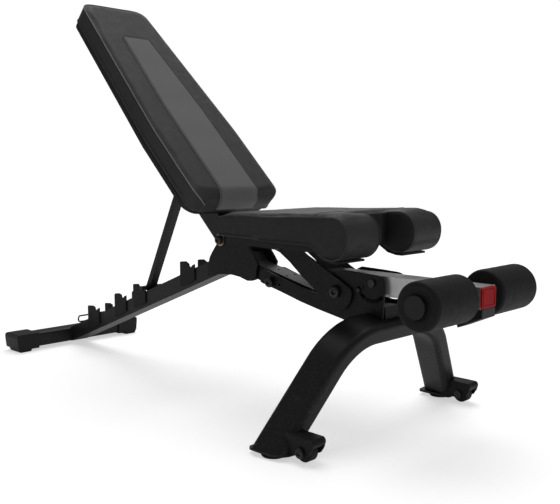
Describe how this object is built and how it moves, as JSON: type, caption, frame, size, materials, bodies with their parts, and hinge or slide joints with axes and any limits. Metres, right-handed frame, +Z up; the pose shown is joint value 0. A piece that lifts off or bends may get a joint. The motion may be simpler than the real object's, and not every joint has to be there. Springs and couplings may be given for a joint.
{
  "type": "decline sit up bench",
  "caption": "Folding decline sit up bench with a stepped tilting backrest, split-front seat, bowed front leg, foam leg rollers on a sliding brace and transport wheels.",
  "frame": {"origin": "centre of the bench footprint, on the floor", "axes": "+X towards the foam rollers (front), +Z up, +Y to the left of a person seated facing the rollers"},
  "size_m": [1.4299, 0.6032, 0.9498],
  "materials": {
    "frame_black": "satin black powder coat",
    "plate_black": "satin black powder coat",
    "tongue_grey": "satin dark grey",
    "bolt_dark": "dark zinc",
    "washer_gold": "worn",
    "silver_steel": "satin",
    "pad_leather": "fine grain",
    "board_black": "matte",
    "foam_black": "matte foam",
    "cap_black": "matte",
    "plug_red": "gloss",
    "rubber_black": "matte"
  },
  "bodies": {
    "front_frame": {"front_side_plates": "plate_black", "bracket_plates": "plate_black", "saddle_box": "plate_black", "leg_arch": "frame_black", "base_plates": "frame_black", "wheel_brackets": "frame_black", "wheel_bolts": "bolt_dark", "fold_bolt": "bolt_dark", "link_bolts": "bolt_dark", "brace_guides": "plate_black"},
    "transport_wheel_left": {"wheel_left": "rubber_black"},
    "transport_wheel_right": {"wheel_right": "rubber_black"},
    "foot_left": {"leveler_left": "rubber_black"},
    "foot_right": {"leveler_right": "rubber_black"},
    "latch": {"latch_levers": "silver_steel"},
    "rear_frame": {"rear_beam": "frame_black", "rear_tongue": "tongue_grey", "hub_gussets": "frame_black", "ladder_plates": "plate_black", "stabilizer_tube": "frame_black", "stabilizer_caps": "cap_black", "hub_bolt": "bolt_dark", "hub_washers": "washer_gold"},
    "handle": {"rear_handle": "frame_black"},
    "pivot": {"pivot_sleeve": "tongue_grey"},
    "backrest": {"back_channel": "frame_black", "back_board": "board_black", "back_pad": "pad_leather", "back_screws": "bolt_dark", "strut_bolt": "bolt_dark"},
    "strut_collar": {"strut_sleeve": "tongue_grey"},
    "strut": {"strut_bar": "frame_black", "foot_pin": "silver_steel"},
    "seat": {"seat_pad": "pad_leather", "seat_board": "board_black", "seat_side_plates": "plate_black", "seat_screws": "bolt_dark", "seat_link_bolts": "bolt_dark"},
    "links": {"link_plates": "plate_black"},
    "brace": {"brace_tube": "silver_steel", "brace_plug": "plug_red", "brace_gusset": "tongue_grey", "roller_tube": "silver_steel", "roller_caps": "cap_black"},
    "roller_left": {"foam_roller_left": "foam_black"},
    "roller_right": {"foam_roller_right": "foam_black"}
  },
  "joints": [
    {"name": "fold", "type": "hinge", "parent": "front_frame", "child": "rear_frame", "pos_m": [0.1875, 0, 0.27], "axis": [0, -1, 0], "range_deg": [-55, 0]},
    {"name": "seat_pivot", "type": "hinge", "parent": "rear_frame", "child": "seat", "pos_m": [0.027, 0, 0.3535], "axis": [0, -1, 0], "range_deg": [0, 55]},
    {"name": "link_pivot", "type": "hinge", "parent": "front_frame", "child": "links", "pos_m": [0.383, 0, 0.271], "axis": [0, -1, 0], "range_deg": [-55, 0]},
    {"name": "back_recline", "type": "hinge", "parent": "rear_frame", "child": "pivot", "pos_m": [0.027, 0, 0.3535], "axis": [0, 1, 0], "range_deg": [-64.3, 0]},
    {"name": "back_raise", "type": "hinge", "parent": "pivot", "child": "backrest", "pos_m": [0.027, 0, 0.3535], "axis": [0, 1, 0], "range_deg": [0, 45.7]},
    {"name": "strut_recline", "type": "hinge", "parent": "backrest", "child": "strut_collar", "pos_m": [-0.13833, 0, 0.51483], "axis": [0, 1, 0], "range_deg": [0, 110]},
    {"name": "strut_raise", "type": "hinge", "parent": "strut_collar", "child": "strut", "pos_m": [-0.13833, 0, 0.51483], "axis": [0, 1, 0], "range_deg": [-48, 0]},
    {"name": "brace_slide", "type": "slide", "parent": "front_frame", "child": "brace", "axis": [1, 0, 0], "range_m": [0, 0.25]},
    {"name": "roller_left_spin", "type": "hinge", "parent": "brace", "child": "roller_left", "pos_m": [0.6703, 0, 0.29], "axis": [0, 1, 0], "continuous": true},
    {"name": "roller_right_spin", "type": "hinge", "parent": "brace", "child": "roller_right", "pos_m": [0.6703, 0, 0.29], "axis": [0, 1, 0], "continuous": true},
    {"name": "wheel_left_spin", "type": "hinge", "parent": "front_frame", "child": "transport_wheel_left", "pos_m": [0.501, 0.2578, 0.022], "axis": [0, 1, 0], "continuous": true},
    {"name": "wheel_right_spin", "type": "hinge", "parent": "front_frame", "child": "transport_wheel_right", "pos_m": [0.501, -0.2578, 0.022], "axis": [0, 1, 0], "continuous": true},
    {"name": "leveler_left_turn", "type": "slide", "parent": "front_frame", "child": "foot_left", "axis": [0, 0, -1], "range_m": [0, 0.004]},
    {"name": "leveler_right_turn", "type": "slide", "parent": "front_frame", "child": "foot_right", "axis": [0, 0, -1], "range_m": [0, 0.004]},
    {"name": "handle_hinge", "type": "hinge", "parent": "rear_frame", "child": "handle", "pos_m": [-0.548, 0, 0.1018], "axis": [0, 1, 0], "range_deg": [0, 60]},
    {"name": "latch_swing", "type": "hinge", "parent": "front_frame", "child": "latch", "pos_m": [0.471, 0, 0.296], "axis": [0, -1, 0], "range_deg": [0, 90]}
  ],
  "couplings": [
    {"joint": "seat_pivot", "follows": "fold", "ratio": -1},
    {"joint": "link_pivot", "follows": "fold", "ratio": 1},
    {"joint": "strut_recline", "follows": "back_recline", "ratio": -1.7},
    {"joint": "strut_raise", "follows": "back_raise", "ratio": -0.92}
  ]
}
